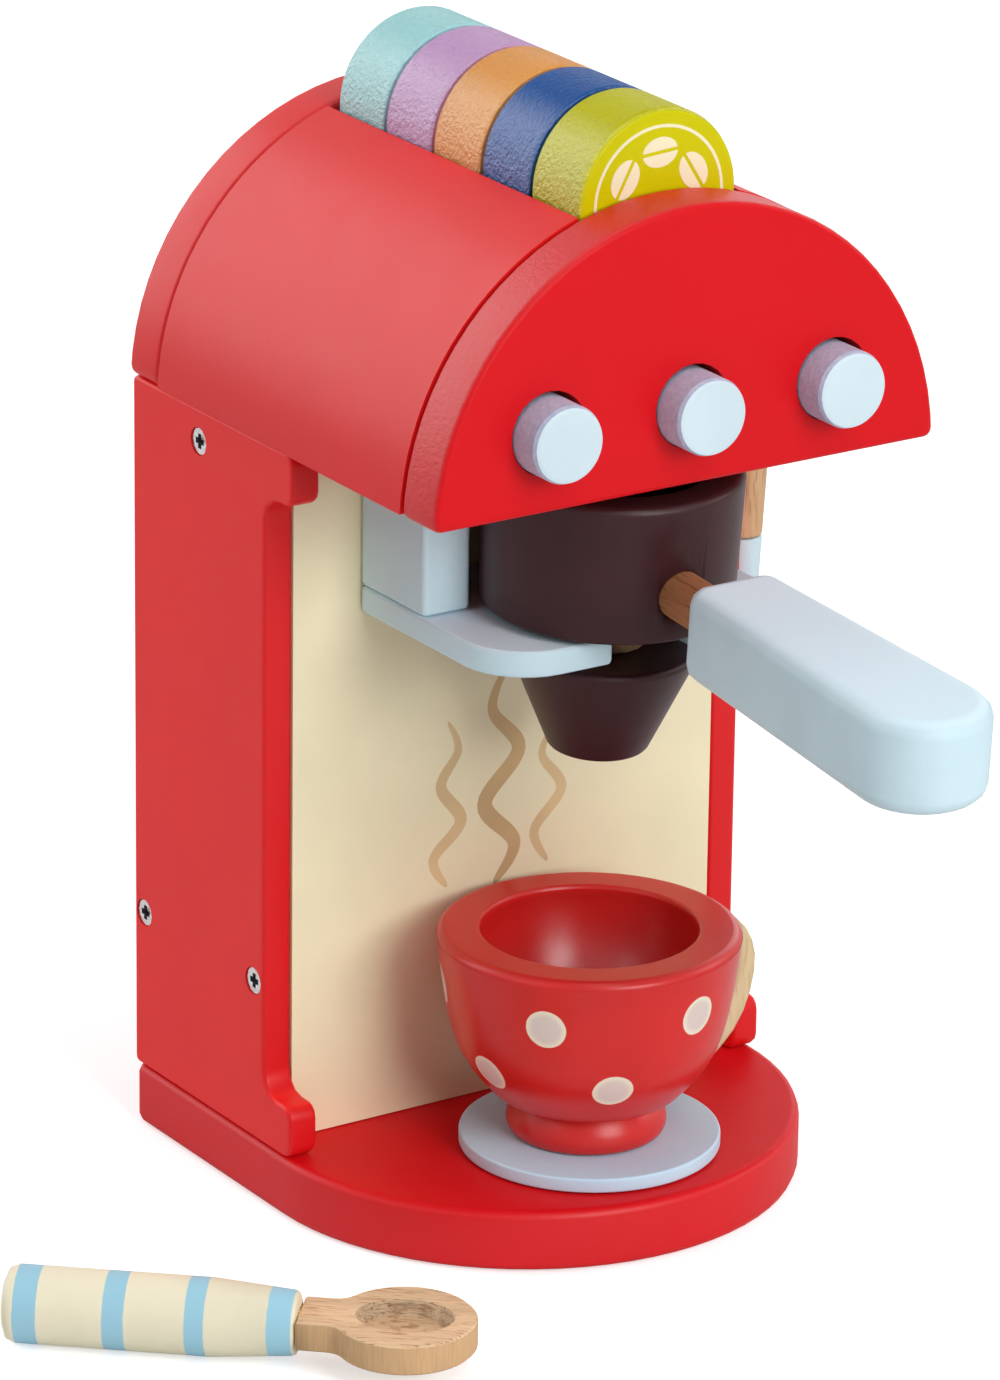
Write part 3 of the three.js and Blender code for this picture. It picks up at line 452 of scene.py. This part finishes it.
def rim_paint():
    """Red that is flat on the front and brushed, with more sheen, round the rim."""
    finish = painted("rim_paint", (215, 17, 26), 0.42, 0.14, tone=0.008)[0]
    rim = finish.remap(finish.facing(), 0.3, 0.9, 1, 0)
    finish.gloss(finish.sum("ADD", finish.sum("MULTIPLY", rim, 0.36), 0.14))
    brushed = finish.noise(1, 3, 0.6, finish.stretched((800, 500, 800)))
    finish.bump((finish.sum("MULTIPLY", brushed, rim), 0.00016))
    return finish.material


def side_paint():
    """The panels' flat sides, a lighter red than their narrow front edges: the lighter sides are painted
    light.
    """
    finish, coat = painted("side_paint", (246, 26, 27), 0.4, 0.32, tone=0.008)
    # Faces that don't face the front get the lighter red: painted light
    finish.colour(finish.blend(finish.remap(finish.facing(), 0.3, 0.8), coat, linear((222, 22, 27))))
    return finish.material


# Plain coats: colour, roughness, specular level and what differs from the usual peel and tone
COATS = {
    "red_paint": ((215, 17, 26), 0.42, 0.14, {"tone": 0.008}),
    # red_sheen is red_paint made lighter and glossier: its lighter red is painted light on the roof shells and
    # back plate
    "red_sheen": ((229, 26, 28), 0.4, 0.34, {"tone": 0.008}),
    "cream_paint": ((243, 235, 198), 0.5, 0.25, {"tone": 0.015}),
    "disc_paint": ((204, 234, 255), 0.5, 0.25, {"peel": 0.00006, "tone": 0.015}),
    "dark_paint": ((58, 28, 31), 0.38, 0.26, {"peel": 0.00005, "tone": 0.06}),
    "print_tan": ((208, 179, 131), 0.55, 0.2, {"tone": 0.06}),
    "print_sand": ((224, 198, 150), 0.55, 0.2, {"tone": 0.06}),
    "print_cream": ((240, 234, 198), 0.5, 0.25, {"tone": 0.02}),
}
# Pods: their colours, and the coarse and glossy coat that they share
PODS = {
    "pod_mint": (174, 228, 230), "pod_lilac": (206, 162, 208), "pod_orange": (238, 163, 84),
    "pod_blue": (28, 86, 160), "pod_lime": (204, 200, 2),
}
POD_COAT = {
    "rough": 0.29, "specular": 1.0, "peel": 0.0009, "peel_scale": 880, "tone": 0.02, "barrel": True,
}
# Woods: pale and dark tones, how the fine and the broad grain stretch, and how strong the flecks are
WOODS = {
    "bare_beech": ((216, 176, 134), (178, 130, 88), ((900, 900, 60), (90, 90, 8)), 0.55),
    "bare_plywood": ((222, 196, 152), (190, 156, 112), ((700, 60, 700), (60, 6, 60)), 0.55),
    "ear_beech": ((222, 200, 158), (196, 164, 118), ((900, 900, 60), (90, 90, 8)), 0.3),
    "dowel_beech": ((188, 126, 84), (150, 92, 58), ((900, 50, 900), (90, 7, 90)), 0.8),
}
# Finishes that have a function of their own
PAINTERS = {
    "side_paint": side_paint, "blue_paint": blue_paint, "base_paint": base_paint, "rim_paint": rim_paint,
    "scoop_paint": scoop_paint, "button_paint": button_paint, "cup_paint": cup_paint, "steel": steel,
    "recess": recess_shade, "scoop_beech": scoop_wood,
}
# Nodes whose finish isn't the one that their slot names
FINISH_OF = {
    "base_plate": "base_paint", "roof_front_plate": "rim_paint", "cup_body": "cup_paint",
    "cup_handle": "ear_beech", "scoop_head": "scoop_beech", "handle_dowel": "dowel_beech",
    # The side panels, back panel, roof shells and back plate take lighter copies of red_paint: painted light
    "side_panel_left": "side_paint", "side_panel_right": "side_paint", "back_panel": "side_paint",
    "roof_shell_left": "red_sheen", "roof_shell_right": "red_sheen", "roof_back_plate": "red_sheen",
    **{f"button_cap_{side}": "button_paint" for side in ("left", "middle", "right")},
}


def make_finishes():
    """Every finish, by its name."""
    made = {name: make() for name, make in PAINTERS.items()}
    for name, (srgb, rough, specular, values) in COATS.items():
        made[name] = plain_coat(name, srgb, rough, specular, **values)
    for name, srgb in PODS.items():
        made[name] = plain_coat(name, srgb, **POD_COAT)
    for name, values in WOODS.items():
        made[name] = bare_wood(name, *values)
    return made


# Pieces


def adopt(name, work, body, material):
    """A new piece from a finished bmesh, riding on a body."""
    mesh = bpy.data.meshes.new(name)
    work.to_mesh(mesh)
    work.free()
    mesh.materials.append(material)
    piece = bpy.data.objects.new(name, mesh)
    bpy.context.scene.collection.objects.link(piece)
    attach(piece, body)
    return piece


# Angles in degrees from which an edge stays sharp, and how much large faces steer the normals beside them
SHARP, CAP_SHARP, CUP_SHARP = 52, 30, 35
FACE_WEIGHT = 70


def smooth(piece, degrees):
    """Smooth shading, with edges steeper than an angle kept sharp."""
    piece.data.shade_smooth()
    piece.data.set_sharp_from_angle(angle=math.radians(degrees))
    weighted = piece.modifiers.new("weighted", "WEIGHTED_NORMAL")
    weighted.keep_sharp = True
    weighted.weight = FACE_WEIGHT


def stand_in(node, work, material, sharp):
    """A piece that takes the place of a CAD node."""
    piece = adopt(node + "_finish", work, BODY_OF[node], material)
    smooth(piece, sharp)
    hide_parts(node)
    return piece


# Points that lie closer are one, and so are faces that meet flatter than this, in degrees
WELD, FLAT = 0.001 * MM, 0.3


def soften(node, material):
    """A copy of a CAD node whose facets are shaded smooth; it stands for the node."""
    work = bmesh.new()
    work.from_mesh(NODES[node].data)
    bmesh.ops.remove_doubles(work, verts=work.verts, dist=WELD)
    bmesh.ops.dissolve_limit(work, angle_limit=math.radians(FLAT), verts=work.verts, edges=work.edges)
    if node in ROUND:
        true_round(work, *ROUND[node])
    if node.startswith("roof_shell"):
        raise_shell(work)
    return stand_in(node, work, material, CAP_SHARP if node.startswith("button_cap") else SHARP)


def press_spring(piece):
    """Gives a button's spring a mesh of its own."""
    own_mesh(piece)


# Roof shell: how far its outside rises, how deep it lies under the plates' rims, and the height of its foot
SHELL_RISE, SHELL_DEPTH, SHELL_FOOT = 0.6 * MM, 3 * MM, 0.5 * MM


def raise_shell(work):
    """Brings the shell's outside nearer to the rims of the plates at its ends; its foot keeps its height."""
    low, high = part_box("roof_back_plate")
    outer = (high.x - low.x) / 2
    axis = high.z - outer
    for vert in work.verts:
        reach = math.hypot(vert.co.x, vert.co.z - axis)
        if outer - SHELL_DEPTH < reach < outer:
            share = 1 + SHELL_RISE / reach
            vert.co.x *= share
            if vert.co.z > axis + SHELL_FOOT:
                vert.co.z = axis + (vert.co.z - axis) * share


# Screw cross: its depths under the head, its reach from the axis, and the depth that counts as an end
CROSS_TOP, CROSS_FLOOR, CROSS_REACH, END_DEPTH = 0.05 * MM, 1.4 * MM, 2.1 * MM, 0.2 * MM


def darken_cross(piece, node, material):
    """Gives the faces inside a screw's cross a darker finish: painted shade."""
    low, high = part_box(node)
    size = high - low
    lengthwise = max(range(3), key=lambda i: size[i])
    centre = middle(node)

    def out(point):
        away = point - centre
        away[lengthwise] = 0
        return away.length

    def end_reach(end):
        return max(out(v.co) for v in piece.data.vertices if abs(v.co[lengthwise] - end) < END_DEPTH)

    head = max((low[lengthwise], high[lengthwise]), key=end_reach)
    piece.data.materials.append(material)
    for face in piece.data.polygons:
        deep = abs(face.center[lengthwise] - head)
        if CROSS_TOP < deep < CROSS_FLOOR and out(face.center) < CROSS_REACH:
            face.material_index = 1


# Turned pieces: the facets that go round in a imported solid, and the cuts that each gets here
COARSE, FINE, FACET_CUTS = 24, 36, 3
# A point moves only where it is more than a rounding error inside its circle
ROUNDING = 1.00001


def round_pieces():
    """The turned pieces, each with a point on its axis, the axis and its facets."""
    found = {
        "drip_disc": (middle("drip_disc"), UP, FINE),
        "scoop_handle": (SCOOP_BUTT, SCOOP_AXIS, COARSE),
        "wand_tip": (middle("wand_tip"), UP, COARSE),
    }
    turning = JOINTS["holder_turn"]
    for node in ("holder_basket", "holder_spout"):
        found[node] = (turning["pos_m"], turning["axis"], FINE)
    for index in range(1, len(PODS) + 1):
        found[f"pod_{index}"] = (middle(f"pod_{index}"), FRONT, FINE)
    for side in ("left", "middle", "right"):
        found[f"button_cap_{side}"] = (middle(f"button_cap_{side}"), FRONT, COARSE)
    return found


ROUND = round_pieces()


def true_round(work, point, axis, count):
    """Splits the facets of a turned solid and moves the new points out onto the true circles."""
    point, axis = Vector(point), Vector(axis).normalized()
    across = axis.orthogonal().normalized()
    third = axis.cross(across)

    def wide(turn):
        return abs((turn + math.pi) % (2 * math.pi) - math.pi)

    def polar(vert):
        away = vert.co - point
        return math.atan2(away.dot(third), away.dot(across)), away.dot(axis), away

    outer = max(work.verts, key=lambda v: (v.co - point - axis * (v.co - point).dot(axis)).length)
    first = polar(outer)[0]
    step = 2 * math.pi / count
    around = [e for e in work.edges if wide(polar(e.verts[0])[0] - polar(e.verts[1])[0]) > step / 2]
    bmesh.ops.subdivide_edges(work, edges=around, cuts=FACET_CUTS, use_grid_fill=True)
    for vert in work.verts:
        angle, height, away = polar(vert)
        flat = away - axis * height
        if flat.length < WELD:
            continue
        off = (angle - first) % step - step / 2
        share = math.cos(off) / math.cos(step / 2)
        if share > ROUNDING:
            vert.co = point + axis * height + flat * share


def spline(points, steps):
    """A smooth line of points through a few."""
    line = []
    for index in range(len(points) - 1):
        before = Vector(points[max(index - 1, 0)])
        start, end = Vector(points[index]), Vector(points[index + 1])
        after = Vector(points[min(index + 2, len(points) - 1)])
        for step in range(steps):
            t = step / steps
            line.append(
                0.5 * (2 * start + (end - before) * t + (2 * before - 5 * start + 4 * end - after) * t * t
                       + (3 * start - before - 3 * end + after) * t ** 3)
            )
    line.append(Vector(points[-1]))
    return line


# Cup: the steps round it, the steps between two points of its section, the shortest of those in mm, and the
# degrees between the points of its bowl
CUP_STEPS, SECTION_STEPS, SECTION_GAP, BOWL_STEP = 144, 6, 0.02, 6


def cup_line():
    """The cup's section as (radius, height) in mm: foot, groove, wall, rim, lip and bowl."""
    foot = [(17.6, 0), (19.1, 0.4), (20, 2.3), (19.8, 4.4), (19.1, 6.4), (18.0, 8.4), (17.4, 9.5)]
    wall = [foot[-1], (20.4, 9.8), (23.2, 11.0), (25.3, 13.1), *CUP_WALL, (37.8, 51.3)]
    rim = [wall[-1], (37.5, 52.4), (36.6, 53.3), (35.5, 53.6)]
    lip = [(28, 53.6), (27.3, 53.3), (MOUTH_RADIUS, MOUTH_HEIGHT)]
    turns = [math.radians(degrees) for degrees in range(BOWL_STEP, 90, BOWL_STEP)]
    side = [(MOUTH_RADIUS * math.cos(t), MOUTH_HEIGHT - BOWL_DEPTH * math.sin(t)) for t in turns]
    bowl = [lip[-1], *side, (0, MOUTH_HEIGHT - BOWL_DEPTH)]
    line = [Vector((0, 0))]
    for part in (foot, wall, rim, lip, bowl):
        line += [p for p in spline(part, SECTION_STEPS) if (p - line[-1]).length > SECTION_GAP]
    return line


def turned_cup(material):
    """The cup turned on a true circle, its outside a smooth line down to the groove over its foot."""
    work = bmesh.new()
    rings = []
    for point in cup_line():
        count = CUP_STEPS if point.x > SECTION_GAP else 1
        turns = [2 * math.pi * step / CUP_STEPS for step in range(count)]
        rings.append([work.verts.new(cup_point(point.x, point.y, turn)) for turn in turns])
    for low, high in zip(rings, rings[1:]):
        for step in range(CUP_STEPS):
            after = (step + 1) % CUP_STEPS
            around = ((low, step), (low, after), (high, after), (high, step))
            work.faces.new(dict.fromkeys(ring[turn % len(ring)] for ring, turn in around))
    bmesh.ops.recalc_face_normals(work, faces=work.faces)
    stand_in("cup_body", work, material, CUP_SHARP)


# Prints

PRINT_THICKNESS = 0.06 * MM


def printed(name, outline, origin, body, slot, material):
    """A thin closed print on a front face: its outline in mm, sideways and up from an origin."""
    work = bmesh.new()
    loops = []
    for lift in (0.0, PRINT_THICKNESS):
        base = Vector(origin) + Vector(FRONT) * lift
        loops.append([work.verts.new(base + Vector((x, 0, y)) * MM) for x, y in outline])
    work.faces.new(reversed(loops[0]))
    work.faces.new(loops[1])
    count = len(outline)
    for index in range(count):
        after = (index + 1) % count
        work.faces.new((loops[0][index], loops[0][after], loops[1][after], loops[1][index]))
    bmesh.ops.recalc_face_normals(work, faces=work.faces)
    bmesh.ops.triangulate(work, faces=[f for f in work.faces if len(f.verts) > 4])
    adopt(name, work, body, material)


# Brush stroke: its steps between two points, its width at its tips and just inside them as shares of the full
# width, and the powers that shape its swell along and across
STROKE_STEPS, TIP_SHARE, THIN_SHARE, SWELL_ALONG, SWELL_ACROSS = 10, 0.08, 0.12, 0.8, 0.7


def ribbon(points, width):
    """The outline of a brush stroke along a line, thin at both ends."""
    line = spline(points, STROKE_STEPS)
    left, right = [], []
    last = len(line) - 1
    for index, point in enumerate(line):
        along = (line[min(index + 1, last)] - line[max(index - 1, 0)]).normalized()
        side = Vector((-along.y, along.x))
        share = TIP_SHARE
        if 0 < index < last:
            swell = math.sin(math.pi * (index / last) ** SWELL_ALONG) ** SWELL_ACROSS
            share = THIN_SHARE + (1 - THIN_SHARE) * swell
        half = width / 2 * share
        left.append(point + side * half)
        right.append(point - side * half)
    return [tuple(p) for p in left + right[::-1]]


# Wisps of steam: their lines in mm beside the machine's middle and over the table, their widths and finishes
WISPS = [
    ([(-17, 74), (-21, 82), (-13, 91), (-19, 101), (-14, 110), (-17, 118)], 3.4, "print_sand"),
    ([(-3, 72), (3, 82), (-6, 94), (4, 107), (-4, 119), (1, 131)], 4.4, "print_tan"),
    ([(13, 75), (9, 84), (17, 94), (11, 104), (15, 112)], 3.0, "print_sand"),
]


def steam_print(finishes):
    """Wisps of steam on the front panel."""
    origin = (0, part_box("front_panel")[0].y, 0)
    for index, (points, width, colour) in enumerate(WISPS, 1):
        printed(
            f"steam_wisp_{index}", ribbon(points, width), origin, "machine", "cream_paint", finishes[colour]
        )


def oval(centre, radii, turn, start, end, steps):
    """Part of an oval's outline, between two angles."""
    points = []
    for step in range(steps + 1):
        angle = start + (end - start) * step / steps
        x, y = radii[0] * math.cos(angle), radii[1] * math.sin(angle)
        points.append((
            centre[0] + x * math.cos(turn) - y * math.sin(turn),
            centre[1] + x * math.sin(turn) + y * math.cos(turn),
        ))
    return points


# Beans: the middle of each in mm from the pod's axis and its turn in degrees, then their size in mm, the angle
# in radians that each half stops short of the cleft, and the steps round a half
BEANS = [((-9.6, 6.2), 62), ((0.2, 11.6), 4), ((9.8, 5.8), -58)]
BEAN_RADII, BEAN_GAP, BEAN_STEPS = (5.0, 3.7), 0.12, 20
# The arc over them: its radii in mm, the degrees where it starts and ends, and its steps
RING_OUTER, RING_INNER, RING_ENDS, RING_STEPS = 18.4, 17.6, (-24, 204), 60


def pod_print(finishes):
    """Three small beans under an arc, on the face of the front pod."""
    low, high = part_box("pod_5")
    origin = ((low.x + high.x) / 2, low.y, (low.z + high.z) / 2)
    place = (origin, "loose_pod_5", "pod_lime", finishes["print_cream"])
    for index, (centre, degrees) in enumerate(BEANS, 1):
        for half, start in (("a", BEAN_GAP), ("b", math.pi + BEAN_GAP)):
            end = start + math.pi - 2 * BEAN_GAP
            outline = oval(centre, BEAN_RADII, math.radians(degrees), start, end, BEAN_STEPS)
            printed(f"bean_{index}{half}", outline, *place)
    first, last = (math.radians(v) for v in RING_ENDS)
    outer = oval((0, 0), (RING_OUTER, RING_OUTER), 0, first, last, RING_STEPS)
    inner = oval((0, 0), (RING_INNER, RING_INNER), 0, last, first, RING_STEPS)
    printed("pod_ring", outer + inner, *place)


# Surroundings

# How strong the background is for the light and for what is seen
AMBIENT, SEEN_WHITE = 0.15, 1.0


def make_world():
    """A white background for what the camera sees, also in gloss, and a dim one for the light."""
    world = bpy.data.worlds.new("world")
    bpy.context.scene.world = world
    world.use_nodes = True
    tree = world.node_tree
    tree.nodes.clear()
    out = tree.nodes.new("ShaderNodeOutputWorld")
    background = tree.nodes.new("ShaderNodeBackground")
    background.inputs["Color"].default_value = (1, 1, 1, 1)
    path = tree.nodes.new("ShaderNodeLightPath")
    seen = tree.nodes.new("ShaderNodeMath")
    seen.operation = "MAXIMUM"
    tree.links.new(path.outputs["Is Camera Ray"], seen.inputs[0])
    tree.links.new(path.outputs["Is Glossy Ray"], seen.inputs[1])
    strength = tree.nodes.new("ShaderNodeMapRange")
    strength.inputs["To Min"].default_value = AMBIENT
    strength.inputs["To Max"].default_value = SEEN_WHITE
    tree.links.new(seen.outputs[0], strength.inputs["Value"])
    tree.links.new(strength.outputs[0], background.inputs["Strength"])
    tree.links.new(background.outputs[0], out.inputs["Surface"])


# Lamps: where each round lamp stands, what it is aimed at, its diameter in metres and its watts
LAMPS = {
    "front": ((0.08, -1.75, 0.78), (0, -0.03, 0.12), 1.0, 18.5),
    "high": ((0, -1.2, 1.6), (0, 0, 0.12), 0.8, 5.5),
    "right": ((1.7, -0.6, 0.9), (0, 0, 0.12), 1.0, 5),
    "far_right": ((1.6, 1.1, 0.8), (0, 0, 0.12), 1.0, 3.5),
    "left": ((-1.6, -0.1, 1.2), (0, 0, 0.14), 1.0, 2.6),
    "top": ((0, -0.1, 2.0), (0, 0, 0.14), 0.8, 5),
    "back": ((-1.0, 1.75, 1.1), (0, 0, 0.2), 2.2, 27),
}


def make_lamps():
    for name, (place, aim, size, power) in LAMPS.items():
        data = bpy.data.lights.new(name, "AREA")
        data.shape = "DISK"
        data.size = size
        data.energy = power
        light = bpy.data.objects.new(name, data)
        bpy.context.scene.collection.objects.link(light)
        light.location = place
        light.rotation_euler = (Vector(aim) - Vector(place)).to_track_quat("-Z", "Y").to_euler()


# Floor: half its side, its drop under the feet, its colour, and how it glows for the camera, near and far
FLOOR_REACH, FLOOR_DROP, FLOOR_COLOUR = 12, 0.0002, (0.8, 0.81, 0.81, 1)
GLOW_FROM, GLOW_TO, GLOW_NEAR, GLOW_FAR = 0.4, 2.5, 0.55, 1.0


def make_floor():
    """A pale matt floor that keeps the shadow and runs into the white background."""
    work = bmesh.new()
    bmesh.ops.create_grid(work, x_segments=1, y_segments=1, size=FLOOR_REACH)
    mesh = bpy.data.meshes.new("floor")
    work.to_mesh(mesh)
    work.free()
    floor = bpy.data.objects.new("floor", mesh)
    floor.location.z = -FLOOR_DROP
    bpy.context.scene.collection.objects.link(floor)
    finish = Finish("floor", 0.9, 0.0)
    finish.shader.inputs["Base Color"].default_value = FLOOR_COLOUR
    glow = finish.add("ShaderNodeEmission")
    path = finish.add("ShaderNodeLightPath")
    level = finish.remap(finish.distance((0, 0, 0)), GLOW_FROM, GLOW_TO, GLOW_NEAR, GLOW_FAR)
    finish.link(finish.sum("MULTIPLY", path.outputs["Is Camera Ray"], level), glow.inputs["Strength"])
    both = finish.add("ShaderNodeAddShader")
    finish.link(finish.shader.outputs[0], both.inputs[0])
    finish.link(glow.outputs[0], both.inputs[1])
    finish.link(both.outputs[0], finish.out.inputs["Surface"])
    mesh.materials.append(finish.material)


# Nodes that nothing shows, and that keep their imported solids
SEALED = {"top_rail", "spring_board", "trough_floor", "trough_wall_left", "trough_wall_right"}


def dress():
    """Gives every node its finish, and puts a finer piece in the place of each that shows."""
    finishes = make_finishes()
    for node, cad in NODES.items():
        material = finishes[FINISH_OF.get(node, SLOT_OF[node])]
        cad.data.materials.clear()
        cad.data.materials.append(material)
        if node in SEALED:
            continue
        if node == "cup_body":
            turned_cup(material)
            continue
        piece = soften(node, material)
        if "_screw_" in node:
            darken_cross(piece, node, finishes["recess"])
        if node.startswith("button_spring"):
            press_spring(piece)
    steam_print(finishes)
    pod_print(finishes)


make_camera()
make_world()
make_lamps()
make_floor()
dress()

bpy.context.scene.view_settings.view_transform = "Standard"
